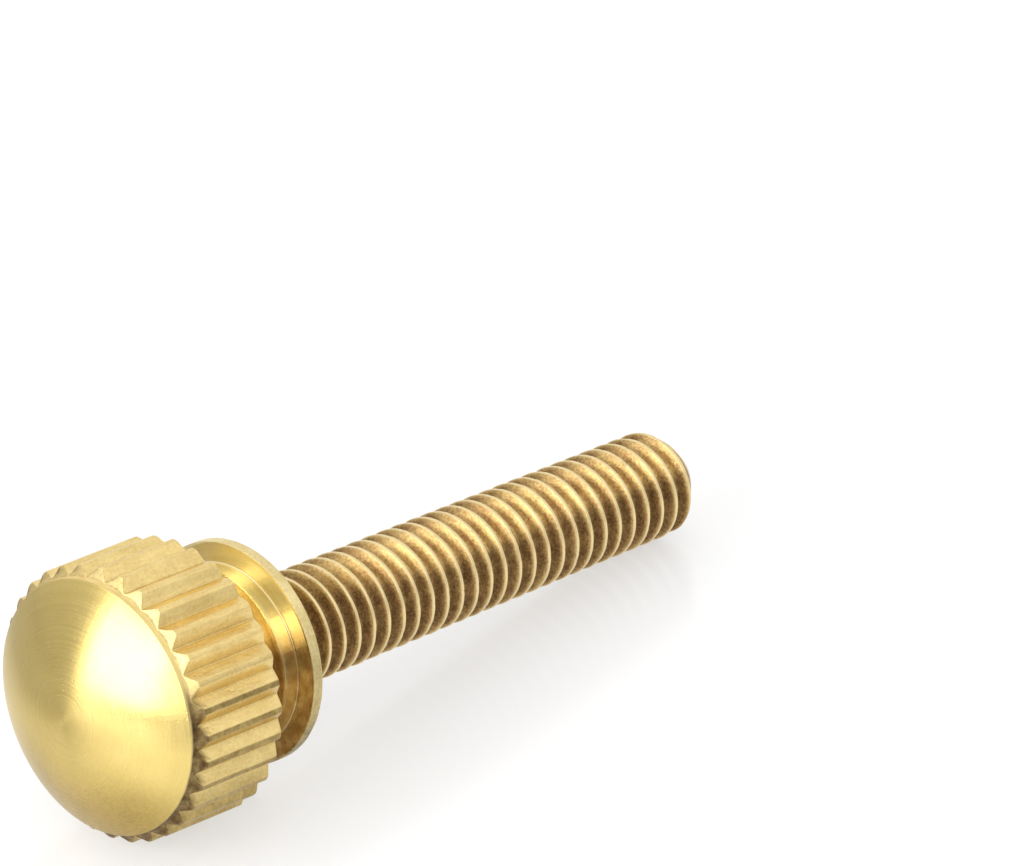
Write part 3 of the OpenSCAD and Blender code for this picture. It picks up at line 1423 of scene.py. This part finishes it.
@dataclass
class BrassShop:
    """Builds the node groups that the brass finishes share, for a screw that lies as given.

    Attributes:
        lie: How the screw lies.
        frame: Place on the upright screw, in millimetres.
        rings: Turning marks.
        strokes: Marks drawn along the axis.
        pits: Scattered small pits.
        tone: Colour of the bare brass.
    """

    lie: Lie
    frame: bpy.types.NodeTree = field(init=False)
    rings: bpy.types.NodeTree = field(init=False)
    strokes: bpy.types.NodeTree = field(init=False)
    pits: bpy.types.NodeTree = field(init=False)
    tone: bpy.types.NodeTree = field(init=False)

    def __post_init__(self) -> None:
        """Builds every group once."""
        self.frame = self._frame()
        self.rings = self._rings()
        self.strokes = self._strokes()
        self.pits = self._pits()
        self.tone = self._tone()

    def _new(
        self, name: str, inputs: dict[str, str], outputs: dict[str, str]
    ) -> tuple[Wiring, bpy.types.NodeOutputs, bpy.types.NodeInputs]:
        """Starts a node group.

        Args:
            name: Name of the group.
            inputs: Kind of each named input, such as Float.
            outputs: Kind of each named output.

        Returns:
            The group's wiring, the sockets of what it is given, and those of what it puts out.
        """
        tree = bpy.data.node_groups.new(name, "ShaderNodeTree")
        for way, sockets in (("INPUT", inputs), ("OUTPUT", outputs)):
            for key, kind in sockets.items():
                tree.interface.new_socket(name=key, in_out=way, socket_type=f"NodeSocket{kind}")
        given = tree.nodes.new("NodeGroupInput").outputs
        result = tree.nodes.new("NodeGroupOutput").inputs
        return Wiring(tree), given, result

    def _frame(self) -> bpy.types.NodeTree:
        """Object coordinates, stood upright on the seat, in millimetres, and the radius there.

        Returns:
            The group.
        """
        wiring, given, result = self._new(
            "upright_millimetres",
            {"Object": "Vector"},
            {"Upright": "Vector", "Radius": "Float", "Height": "Float"},
        )
        stand = {
            "Location": self.lie.seat,
            "Rotation": (0.0, self.lie.turn, 0.0),
            "Scale": (MM, MM, MM),
            "Vector": given["Object"],
        }
        upright = wiring.fed("Mapping", stand, vector_type="TEXTURE").outputs[0]
        parts = wiring.combine("SeparateXYZ", upright)
        flat = wiring.vector(parts["X"], parts["Y"], 0.0)
        radius = wiring.combine("VectorMath", flat, operation="LENGTH")["Value"]
        wiring.feed(result["Upright"], upright)
        wiring.feed(result["Radius"], radius)
        wiring.feed(result["Height"], parts["Z"])
        return wiring.tree

    def _rings(self) -> bpy.types.NodeTree:
        """Turning marks: noise that changes fast from ring to ring and slowly round the axis.

        Returns:
            The group.
        """
        wiring, given, result = self._new(
            "turning_marks",
            {
                "Upright": "Vector",
                "Radius": "Float",
                "Height": "Float",
                "Rings per mm": "Float",
                "Wander": "Float",
            },
            {"Marks": "Float"},
        )
        slow = wiring.noise(given["Upright"], scale=0.6, detail=1.0)
        shift = wiring.maths("MULTIPLY", slow, given["Wander"])
        out = wiring.maths("MULTIPLY", given["Radius"], given["Rings per mm"])
        up = wiring.maths("MULTIPLY", given["Height"], given["Rings per mm"])
        vector = wiring.vector(wiring.maths("ADD", out, shift), up, shift)
        wiring.feed(result["Marks"], wiring.noise(vector, scale=1.0, detail=3.0, roughness=0.6))
        return wiring.tree

    def _strokes(self) -> bpy.types.NodeTree:
        """Marks drawn along the axis: noise stretched lengthwise.

        Returns:
            The group.
        """
        wiring, given, result = self._new(
            "lengthwise_marks",
            {"Upright": "Vector", "Lines per mm": "Float", "Stretch": "Float"},
            {"Marks": "Float"},
        )
        parts = wiring.combine("SeparateXYZ", given["Upright"])
        lines = given["Lines per mm"]
        along = wiring.maths("MULTIPLY", parts["Z"], given["Stretch"])
        squeezed = [wiring.maths("MULTIPLY", part, lines) for part in (parts["X"], parts["Y"], along)]
        vector = wiring.vector(*squeezed)
        wiring.feed(result["Marks"], wiring.noise(vector, scale=1.0, detail=3.0, roughness=0.6))
        return wiring.tree

    def _pits(self) -> bpy.types.NodeTree:
        """Scattered small pits, as a depth from 0 to 1. They come in patches.

        Returns:
            The group.
        """
        wiring, given, result = self._new(
            "pits",
            {"Upright": "Vector", "Pits per mm": "Float", "Size": "Float"},
            {"Depth": "Float"},
        )
        inputs = {"Vector": given["Upright"], "Scale": given["Pits per mm"]}
        cells = wiring.fed("TexVoronoi", inputs, feature="F1")
        near = wiring.maths("DIVIDE", cells.outputs["Distance"], given["Size"])
        dip = wiring.ramp(near, low=0.4, high=1.0, to_low=1.0, to_high=0.0)
        cloud = wiring.noise(given["Upright"], scale=1.7, detail=2.0)
        patchy = wiring.ramp(cloud, low=0.45, high=0.6)
        wiring.feed(result["Depth"], wiring.maths("MULTIPLY", dip, patchy))
        return wiring.tree

    def _tone(self) -> bpy.types.NodeTree:
        """Brass colour that drifts between two tones, and follows the marks and the grit.

        Returns:
            The group.
        """
        wiring, given, result = self._new(
            "brass_tone",
            {
                "Upright": "Vector",
                "Marks": "Float",
                "Grain": "Float",
                "Grit": "Float",
                "Speckle": "Float",
                "Pale": "Color",
                "Deep": "Color",
            },
            {"Color": "Color"},
        )
        cloud = wiring.noise(given["Upright"], scale=0.9, detail=3.0)
        finer = wiring.maths("SUBTRACT", given["Marks"], cloud)
        both = wiring.maths("MULTIPLY_ADD", finer, given["Grain"], cloud)
        grit = wiring.maths("SUBTRACT", given["Grit"], 0.5)
        both = wiring.maths("MULTIPLY_ADD", grit, given["Speckle"], both)
        factor = wiring.ramp(both, low=0.35, high=0.65)
        colour = wiring.mix(factor, given["Deep"], given["Pale"])
        wiring.feed(result["Color"], colour)
        return wiring.tree


@dataclass(frozen=True)
class Marks:
    """The sockets that carry the marks on one piece of brass.

    Attributes:
        place: Object coordinates.
        upright: Place on the upright screw, in millimetres.
        rings: Turning marks.
        lines: Lengthwise marks.
        pits: Depth of the pits.
        grit: Fine unevenness all over.
        main: The marks of the tool that cut deepest.
    """

    place: Socket
    upright: Socket
    rings: Socket
    lines: Socket
    pits: Socket
    grit: Socket
    main: Socket


@dataclass(frozen=True)
class BrassFinish:
    """One finish of the brass: its tones, its gloss and the marks of the tool.

    Attributes:
        zone: The stretch of the skin that has it.
        pale: The paler tone of the bare metal.
        deep: The deeper tone.
        roughness: Roughness of the bare metal.
        spread: How far the marks swing that.
        rings_per_mm: Turning marks in a millimetre.
        ring_depth: Their depth.
        wander: How far they stray from a circle, in marks.
        lines_per_mm: Lengthwise marks in a millimetre.
        stretch: Their width as a share of their length.
        line_depth: Their depth.
        pits_per_mm: Pits in a millimetre.
        pit_size: Their width, as a share of their spacing.
        pit_depth: Their depth.
        tarnish_and_shade: Colour of tarnished metal and of painted shade.
        recess_dark_reach: Recess at which the grooves start to darken, and at which that is whole.
        recess_dark_most: How much darker they turn in such a recess.
        tarnish_and_shade_rough: What the tarnished metal and the painted shade add to the roughness.
        tarnish_and_shade_least: How much of them is left where they are thin.
        tarnish_and_shade_swing: How far speckles shade their colour.
        fan: Strength of the fan-shaped gloss of a turned face.
        grain: How much the tone follows the marks.
        grit_per_mm: Grains of the fine unevenness in a millimetre.
        grit_depth: Their depth.
        speckle: How much the tone follows them.
        edge: Paler colour of the outer surface, if it has one: a painted highlight on the bevel, and
            on the thread's crests partly metal rubbed bright by wear and partly a painted highlight.
        edge_reach: Recess over which that colour fades out.
    """

    zone: Zone
    pale: Triple
    deep: Triple
    roughness: float
    spread: float = 0.08
    rings_per_mm: float = 9.0
    ring_depth: float = 0.0
    wander: float = 0.4
    lines_per_mm: float = 12.0
    stretch: float = 0.05
    line_depth: float = 0.0
    pits_per_mm: float = 4.0
    pit_size: float = 0.3
    pit_depth: float = 0.0
    tarnish_and_shade: Triple = (0.3, 0.17, 0.06)
    recess_dark_reach: Span = (1.0, 1.1)
    recess_dark_most: float = 1.0
    tarnish_and_shade_rough: float = 0.0
    tarnish_and_shade_least: float = 0.65
    tarnish_and_shade_swing: float = 0.32
    fan: float = 0.0
    grain: float = 0.35
    grit_per_mm: float = 9.0
    grit_depth: float = 0.0
    speckle: float = 0.3
    edge: Triple | None = None
    edge_reach: Span = (0.02, 0.12)

    def build(self, shop: BrassShop) -> bpy.types.Material:
        """Makes the material.

        Args:
            shop: Holds the shared node groups.

        Returns:
            The material, with marks in its colour, roughness and bump.
        """
        material = bpy.data.materials.new(self.zone.value)
        wiring = Wiring.of(material)
        marks = self._marks(wiring, shop)
        tone = self._bare(wiring, shop, marks)
        recess = wiring.node("Attribute", attribute_name="recess").outputs["Fac"]
        # Painted highlight: the paler edge colour lightens the outer surface; on the thread's crests it
        # is partly metal rubbed bright by wear.
        if self.edge:
            below_edge = wiring.ramp(recess, *self.edge_reach)
            tone = wiring.mix(below_edge, rgba(self.edge), tone)
        # The darker colour is painted shade, and on the thread partly tarnished metal; in the knurl's
        # grooves it darkens their floors.
        share = self._tarnish_and_shade_share(wiring, marks, recess)
        tone = wiring.mix(share, tone, self._tarnish_and_shade_tone(wiring, marks))
        rough = self._gloss(wiring, marks, share)
        relief = {"Strength": 1.0, "Distance": MM, "Height": self._relief(wiring, marks)}
        bump = wiring.fed("Bump", relief).outputs["Normal"]
        surface = {"Metallic": 1.0, "Base Color": tone, "Roughness": rough, "Normal": bump}
        shader = wiring.fed("BsdfPrincipled", surface)
        if self.fan:
            wiring.feed(shader.inputs["Anisotropic"], self.fan)
            wiring.feed(shader.inputs["Tangent"], self._outward(wiring, shop.lie, marks.place))
        wiring.finish(shader.outputs[0])
        return material

    def _marks(self, wiring: Wiring, shop: BrassShop) -> Marks:
        """Lays the marks of the tool, the pits and the grit.

        Args:
            wiring: The material's wiring.
            shop: Holds the shared node groups.

        Returns:
            The sockets of all marks.
        """
        place = wiring.node("TexCoord").outputs["Object"]
        stood = wiring.group(shop.frame, Object=place)
        upright = stood["Upright"]
        rings = wiring.group(
            shop.rings,
            Upright=upright,
            Radius=stood["Radius"],
            Height=stood["Height"],
            Rings_per_mm=self.rings_per_mm,
            Wander=self.wander,
        )["Marks"]
        lines = wiring.group(
            shop.strokes, Upright=upright, Lines_per_mm=self.lines_per_mm, Stretch=self.stretch
        )["Marks"]
        pits = wiring.group(
            shop.pits, Upright=upright, Pits_per_mm=self.pits_per_mm, Size=self.pit_size
        )["Depth"]
        grit = wiring.noise(upright, self.grit_per_mm, detail=3.0, roughness=0.6)
        main = rings if self.ring_depth >= self.line_depth else lines
        return Marks(place, upright, rings, lines, pits, grit, main)

    def _bare(self, wiring: Wiring, shop: BrassShop, marks: Marks) -> Socket:
        """Colour of the bare metal.

        Args:
            wiring: The material's wiring.
            shop: Holds the shared node groups.
            marks: The marks that it follows.

        Returns:
            A colour.
        """
        return wiring.group(
            shop.tone,
            Upright=marks.upright,
            Marks=marks.main,
            Grain=self.grain,
            Grit=marks.grit,
            Speckle=self.speckle,
            Pale=rgba(self.pale),
            Deep=rgba(self.deep),
        )["Color"]

    def _tarnish_and_shade_share(self, wiring: Wiring, marks: Marks, recess: Socket) -> Socket:
        """How far the metal is darkened by tarnished metal and painted shade, from each point's
        darkening value or its recess, thinned in patches.

        Args:
            wiring: The material's wiring.
            marks: The marks, for the place.
            recess: Depth in a groove.

        Returns:
            A value from 0 to 1.
        """
        stain = wiring.node("Attribute", attribute_name="stain").outputs["Fac"]
        deep = wiring.ramp(recess, *self.recess_dark_reach, to_high=self.recess_dark_most)
        cloud = wiring.noise(marks.upright, scale=2.2, detail=4.0, roughness=0.6)
        patchy = wiring.ramp(cloud, low=0.25, high=0.6, to_low=self.tarnish_and_shade_least)
        return wiring.maths("MULTIPLY", wiring.maths("MAXIMUM", deep, stain), patchy)

    def _tarnish_and_shade_tone(self, wiring: Wiring, marks: Marks) -> Socket:
        """Colour of tarnished metal and of painted shade, darker and lighter with the grit.

        Args:
            wiring: The material's wiring.
            marks: The marks that it follows.

        Returns:
            A colour.
        """
        swing = self.tarnish_and_shade_swing * self.speckle
        dark, light = (
            rgba(tuple(shade * part for part in self.tarnish_and_shade)) for shade in (1.0 - swing, 1.0 + swing)
        )
        return wiring.mix(wiring.ramp(marks.grit, low=0.4, high=0.6), dark, light)

    def _gloss(self, wiring: Wiring, marks: Marks, tarnish_and_shade: Socket) -> Socket:
        """Roughness, which swings with the marks and grows with tarnished metal and painted shade.

        Args:
            wiring: The material's wiring.
            marks: The marks that it follows.
            tarnish_and_shade: Share of tarnished metal and painted shade.

        Returns:
            A value from 0 to 1.
        """
        half = self.spread / 2
        least, most = self.roughness - half, self.roughness + half
        rough = wiring.ramp(marks.main, low=0.3, high=0.7, to_low=least, to_high=most)
        return wiring.maths("MULTIPLY_ADD", tarnish_and_shade, self.tarnish_and_shade_rough, rough)

    def _relief(self, wiring: Wiring, marks: Marks) -> Socket:
        """Height of the surface: every mark times its depth, added up.

        Args:
            wiring: The material's wiring.
            marks: The marks.

        Returns:
            A height in millimetres.
        """
        height = wiring.maths("MULTIPLY", marks.lines, self.line_depth)
        height = wiring.maths("MULTIPLY_ADD", marks.rings, self.ring_depth, height)
        height = wiring.maths("MULTIPLY_ADD", marks.pits, -self.pit_depth, height)
        return wiring.maths("MULTIPLY_ADD", marks.grit, self.grit_depth, height)

    def _outward(self, wiring: Wiring, lie: Lie, place: Socket) -> Socket:
        """Direction straight out from the axis: the way from the seat less its part along the axis.

        Args:
            wiring: The material's wiring.
            lie: How the screw lies.
            place: Object coordinates.

        Returns:
            A vector.
        """
        from_seat = wiring.between("SUBTRACT", place, lie.seat)
        along = wiring.between("PROJECT", from_seat, lie.axis)
        return wiring.between("SUBTRACT", from_seat, along)


FINISHES = (
    # Dome: its tarnish colour is painted shade on the lower side of the dome.
    BrassFinish(
        Zone.DOME,
        pale=(0.79, 0.61, 0.22),
        deep=(0.73, 0.55, 0.185),
        roughness=0.25,
        ring_depth=0.0017,
        rings_per_mm=13.0,
        wander=0.12,
        pit_depth=0.0035,
        pit_size=0.2,
        pits_per_mm=5.0,
        grain=0.6,
        grit_depth=0.001,
        fan=0.6,
        tarnish_and_shade=(0.38, 0.26, 0.075),
        tarnish_and_shade_least=0.88,
    ),
    # Bevel: its edge colour is a painted highlight on the step and the gables, and its tarnish colour
    # is painted shade behind the rim.
    BrassFinish(
        Zone.BEVEL,
        pale=(0.78, 0.61, 0.27),
        deep=(0.6, 0.45, 0.18),
        roughness=0.45,
        grit_depth=0.01,
        speckle=0.8,
        tarnish_and_shade=(0.12, 0.07, 0.028),
        edge=(0.92, 0.73, 0.32),
    ),
    # Knurl: its tarnish colour is painted shade on the walls that face the ground, and darkens the
    # floors of the grooves.
    BrassFinish(
        Zone.KNURL,
        pale=(0.96, 0.75, 0.32),
        deep=(0.79, 0.58, 0.225),
        roughness=0.38,
        line_depth=0.008,
        lines_per_mm=14.0,
        stretch=0.12,
        pit_depth=0.01,
        grain=0.5,
        grit_depth=0.008,
        speckle=0.6,
        tarnish_and_shade=(0.27, 0.185, 0.06),
        recess_dark_reach=(0.8, 1.0),
        recess_dark_most=0.25,
    ),
    # Cone: its tarnish colour is painted shade that grows towards the neck.
    BrassFinish(
        Zone.CONE,
        pale=(0.9, 0.72, 0.34),
        deep=(0.84, 0.64, 0.27),
        roughness=0.18,
        ring_depth=0.001,
        tarnish_and_shade=(0.22, 0.12, 0.055),
    ),
    # Neck: its tarnish colour, the default one, is painted shade on the neck and in its corner with the
    # collar.
    BrassFinish(
        Zone.NECK,
        pale=(0.98, 0.84, 0.46),
        deep=(0.94, 0.77, 0.38),
        roughness=0.2,
        spread=0.06,
        ring_depth=0.0012,
        rings_per_mm=16.0,
    ),
    # Collar: its tarnish colour is painted shade on the rim where it faces the ground.
    BrassFinish(
        Zone.COLLAR,
        pale=(0.9, 0.75, 0.38),
        deep=(0.76, 0.6, 0.26),
        roughness=0.4,
        ring_depth=0.003,
        rings_per_mm=12.0,
        pit_depth=0.006,
        grit_depth=0.006,
        speckle=0.8,
        tarnish_and_shade=(0.25, 0.19, 0.08),
    ),
    # Thread: its tarnish colour is partly tarnished metal and partly painted shade in the grooves; its
    # edge colour on the crests is partly metal rubbed bright by wear and partly a painted highlight.
    BrassFinish(
        Zone.THREAD,
        pale=(0.8, 0.58, 0.23),
        deep=(0.5, 0.3, 0.12),
        roughness=0.33,
        grit_per_mm=11.0,
        grit_depth=0.008,
        speckle=0.9,
        ring_depth=0.002,
        rings_per_mm=14.0,
        pit_depth=0.006,
        pits_per_mm=7.0,
        tarnish_and_shade=(0.22, 0.125, 0.047),
        tarnish_and_shade_rough=0.22,
        edge=(0.88, 0.71, 0.38),
    ),
    # Point: its tarnish colour, the default one, is painted shade on the bevel of the point.
    BrassFinish(
        Zone.POINT,
        pale=(0.8, 0.63, 0.28),
        deep=(0.7, 0.52, 0.2),
        roughness=0.26,
        ring_depth=0.003,
        rings_per_mm=10.0,
        pit_depth=0.004,
    ),
)


# --------------------------------------------------------------------------- the whole screw


@dataclass(frozen=True)
class ThumbScrew:
    """The whole screw: head and thread sewn into one skin, and dressed in its finishes.

    Attributes:
        lie: How the screw lies.
        head: The head.
        even_rings: Rings on the seat over which the columns of the knurl even out.
        even_from: How far they have done so at the first of these.
        foot_gap: How far the ring that the shank starts from is from the root of the thread.
    """

    lie: Lie
    head: Head = Head()
    even_rings: int = 9
    even_from: float = 0.1
    foot_gap: float = 0.2

    def build(self) -> bpy.types.Object:
        """Builds the screw's mesh and its materials.

        Returns:
            The screw.
        """
        skin = Skin()
        seat_ring = self._head(skin)
        Thread(self.lie, self.head.shank_root_r).sew_onto(skin, seat_ring)
        shop = BrassShop(self.lie)
        materials = [finish.build(shop) for finish in FINISHES]
        return skin.build("turned_thumb_screw", self.lie, materials)

    def _head(self, skin: Skin) -> np.ndarray:
        """Adds the head to the skin.

        The columns of the head stand where the knurl needs them, and those of the thread are even.
        On the seat the head's move round to even places, and then every second one ends.

        Args:
            skin: The skin to add to.

        Returns:
            Numbers of the ring on the seat that the shank starts from.
        """
        rings = self.head.rings()
        radius, height = rings.stack()
        even = np.arange(len(rings.theta)) * TURN / len(rings.theta)
        moved = np.zeros(len(radius))
        moved[-self.even_rings:] = np.linspace(self.even_from, 1.0, self.even_rings)
        drift = np.mod(even - rings.theta + math.pi, TURN) - math.pi
        theta = rings.theta[None] + moved[:, None] * drift[None]
        # Painted shade of the head, with the recess of its grooves.
        tarnish_and_shade = HeadPaintedShade(self.head, theta, radius, height)
        numbers = skin.add(theta, radius, height, tarnish_and_shade.recess(), tarnish_and_shade.stain())
        skin.sew_rings(numbers, np.array(rings.bands))
        skin.cap(numbers[0], self.head.apex_z, Zone.DOME, upwards=False)
        foot = skin.add(even[0::2], self.head.shank_root_r + self.foot_gap, 0.0)
        skin.halve(numbers[-1], foot, Zone.COLLAR)
        return foot


# --------------------------------------------------------------------------- studio


@dataclass(frozen=True)
class Softbox:
    """A rectangular, evenly lit panel that faces the screw.

    Attributes:
        name: Name of the lamp.
        azimuth: Degrees round the vertical, as seen from the screw: 0 is -Y and 90 is +X.
        elevation: Degrees above the floor.
        distance: Distance from the screw, in metres.
        width: Width in metres.
        height: Height in metres.
        radiance: How bright its face is. The lamp's power is radiance * pi * area.
    """

    name: str
    azimuth: float
    elevation: float
    distance: float
    width: float
    height: float
    radiance: float

    def build(self, aim: Vector) -> bpy.types.Object:
        """Makes the lamp, turned towards the aim.

        Args:
            aim: The place that it faces.

        Returns:
            The lamp, which the camera doesn't see.
        """
        lamp = bpy.data.lights.new(self.name, "AREA")
        lamp.shape = "RECTANGLE"
        lamp.size = self.width
        lamp.size_y = self.height
        lamp.energy = self.radiance * math.pi * self.width * self.height
        made = put_in_scene(self.name, lamp)
        back = direction(self.azimuth, self.elevation)
        set_up(made, aim + back * self.distance, back)
        made.visible_camera = False
        return made


@dataclass(frozen=True)
class StudioCamera:
    """A long lens that looks down on the screw from the side of its head.

    Attributes:
        azimuth: Degrees round the vertical, as seen from the aim.
        elevation: Degrees above the floor.
        roll: Degrees that the camera is turned about its line of sight.
        distance: Distance from the aim, in millimetres.
        lens: Focal length.
        sensor: Width of the sensor.
        clip: Nearest and farthest that it sees, in metres.
        aim_offset: The aim, measured from the middle of the solid's box, in millimetres.
    """

    azimuth: float = -45.4
    elevation: float = 29.57
    roll: float = -2.34
    distance: float = 340.2
    lens: float = 350.88
    sensor: float = 36.0
    clip: Span = (0.01, 20.0)
    aim_offset: Triple = (8.73, 1.878, 0.369)

    def build(self, centre: Vector) -> bpy.types.Object:
        """Makes the camera and the scene's active one.

        Args:
            centre: Middle of the solid's box, which the aim is measured from.

        Returns:
            The camera.
        """
        lens = bpy.data.cameras.new("camera")
        lens.sensor_width = self.sensor
        lens.lens = self.lens
        lens.clip_start, lens.clip_end = self.clip
        made = put_in_scene("camera", lens)
        aim = centre + Vector(self.aim_offset) * MM
        back = direction(self.azimuth, self.elevation)
        set_up(made, aim + back * (self.distance * MM), back, self.roll)
        bpy.context.scene.camera = made
        return made


@dataclass(frozen=True)
class Dimming:
    """A round part of the room's light that is dimmer than the rest.

    The light falls in a straight line with the cosine between a direction and the middle of the
    part, from nothing at `outside` to the whole amount at `inside`.

    Attributes:
        azimuth: Degrees round the vertical to the middle of the part.
        elevation: Degrees above the floor to there.
        outside: Cosine at which the light starts to fall.
        inside: Cosine at which it has fallen by the whole amount.
        amount: The whole amount.
    """

    azimuth: float
    elevation: float
    outside: float
    inside: float
    amount: float

    def taken(self, wiring: Wiring, way: Socket) -> Socket:
        """What the part takes off the light.

        Args:
            wiring: The wiring of the room's light.
            way: The direction that the light comes from.

        Returns:
            A strength.
        """
        near = wiring.along(way, tuple(direction(self.azimuth, self.elevation)))
        return wiring.ramp(near, self.outside, self.inside, to_low=0.0, to_high=self.amount)


@dataclass(frozen=True)
class Studio:
    """A sheet of pale paper on a darker table, the soft lamps and the light of the room.

    An edge of the paper is a direction on the floor and the two distances along it, in metres,
    between which the paper gives way to the table. It is soft.

    Attributes:
        paper_tone: Grey of the paper.
        paper_lift: Light that is added to the paper where it is seen.
        table_tone: Grey of the table.
        floor_roughness: Roughness of both.
        floor_half: Half the side of the floor, in metres.
        across_way: Direction across the view.
        left_edge: Edge of the paper at the left.
        right_edge: Edge of the paper at the right.
        front_way: Direction towards the viewer.
        front_edge: Edge of the paper at the front.
        room_way: Direction that the room's light is brightest from.
        room_cosines: Cosines from that direction between which the light rises.
        room_light: Strength of the room's light at these two.
        dimmings: Dimmer parts of it.
        softboxes: The lamps.
    """

    paper_tone: float = 0.4
    paper_lift: float = 0.55
    table_tone: float = 0.42
    floor_roughness: float = 0.2
    floor_half: float = 2.5
    across_way: Triple = (0.723, -0.691, 0.0)
    left_edge: Span = (-0.0245, -0.0125)
    right_edge: Span = (0.035, 0.027)
    front_way: Triple = (-0.712, -0.702, 0.0)
    front_edge: Span = (0.036, 0.024)
    room_way: Triple = (0.45, 0.1, 0.88)
    room_cosines: Span = (0.0, 0.8)
    room_light: Span = (0.62, 1.08)
    dimmings: tuple[Dimming, ...] = (
        Dimming(105.0, 40.0, 0.9, 0.99, 0.22),
        Dimming(-80.0, 56.0, 0.92, 0.99, 0.35),
    )
    softboxes: tuple[Softbox, ...] = (
        Softbox("side_softbox", -97.0, 20.6, 0.1, 0.094, 0.075, 1.3),
        Softbox("side_heart", -96.0, 19.0, 0.095, 0.069, 0.063, 3.0),
        Softbox("side_spill", -66.0, 8.5, 0.1, 0.026, 0.034, 1.3),
        Softbox("front_softbox", -43.0, 29.0, 0.5, 0.22, 0.26, 2.0),
        Softbox("back_softbox", -127.0, 46.0, 0.1, 0.04, 0.03, 0.7),
    )

    def build(self, aim: Vector) -> None:
        """Builds the floor, the room's light and the lamps.

        Args:
            aim: The place that the lamps face.
        """
        self._floor()
        self._room()
        for softbox in self.softboxes:
            softbox.build(aim)

    def _floor(self) -> None:
        """A flat sheet at the height of the ground: paper in the middle, table round it."""
        half = self.floor_half
        mesh = bpy.data.meshes.new("floor")
        corners = [(-half, -half, 0), (half, -half, 0), (half, half, 0), (-half, half, 0)]
        mesh.from_pydata(corners, [], [(0, 1, 2, 3)])
        mesh.materials.append(self._paper())
        floor = put_in_scene("floor", mesh)

    def _paper(self) -> bpy.types.Material:
        """Satin paper and table, with the paper lifted a little where it is seen or mirrored.

        Returns:
            The material.
        """
        material = bpy.data.materials.new("pale_paper")
        wiring = Wiring.of(material)
        place = wiring.node("TexCoord").outputs["Object"]
        across = wiring.along(place, self.across_way)
        ahead = wiring.along(place, self.front_way)
        paper = wiring.maths(
            "MULTIPLY", wiring.ramp(across, *self.left_edge), wiring.ramp(across, *self.right_edge)
        )
        paper = wiring.maths("MULTIPLY", paper, wiring.ramp(ahead, *self.front_edge))
        greys = (rgba((tone, tone, tone)) for tone in (self.table_tone, self.paper_tone))
        look = {"Base Color": wiring.mix(paper, *greys), "Roughness": self.floor_roughness}
        sheet = wiring.fed("BsdfPrincipled", look).outputs[0]
        path = wiring.node("LightPath").outputs
        seen = wiring.maths("MAXIMUM", path["Is Camera Ray"], path["Is Glossy Ray"])
        seen = wiring.maths("MAXIMUM", seen, path["Is Transmission Ray"])
        share = wiring.maths("MULTIPLY", paper, self.paper_lift)
        strength = wiring.maths("MULTIPLY", seen, share)
        lift = wiring.fed("Emission", {"Strength": strength}).outputs[0]
        wiring.finish(wiring.combine("AddShader", sheet, lift)[0])
        return material

    def _room(self) -> None:
        """A plain light from all round, brighter from above, and dimmed in some directions.

        The strength rises in a straight line with the cosine between a direction and the
        brightest one, less what each dimming takes.
        """
        world = bpy.data.worlds.new("room")
        wiring = Wiring.of(world)
        way = wiring.node("TexCoord").outputs["Generated"]
        near = wiring.along(way, self.room_way)
        strength = wiring.ramp(near, *self.room_cosines, *self.room_light)
        for dimming in self.dimmings:
            strength = wiring.maths("SUBTRACT", strength, dimming.taken(wiring, way))
        white = rgba((1.0, 1.0, 1.0))
        light = wiring.fed("Background", {"Color": white, "Strength": strength}).outputs[0]
        wiring.finish(light, "OutputWorld")
        bpy.context.scene.world = world


# --------------------------------------------------------------------------- putting it together


def main() -> None:
    """Builds the screw, the studio and the camera."""
    bpy.context.scene.view_settings.view_transform = "Standard"
    lie = Lie.of_record(frame["record"])
    low, high = CAD_BOX
    centre = (low + high) / 2
    StudioCamera().build(centre)
    screw = ThumbScrew(lie).build()
    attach(screw, BODY)
    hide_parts(NODE)
    log.info("%s: %d triangles", screw.name, len(screw.data.polygons))
    Studio().build(centre)
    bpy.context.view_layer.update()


if __name__ == "__main__":
    main()
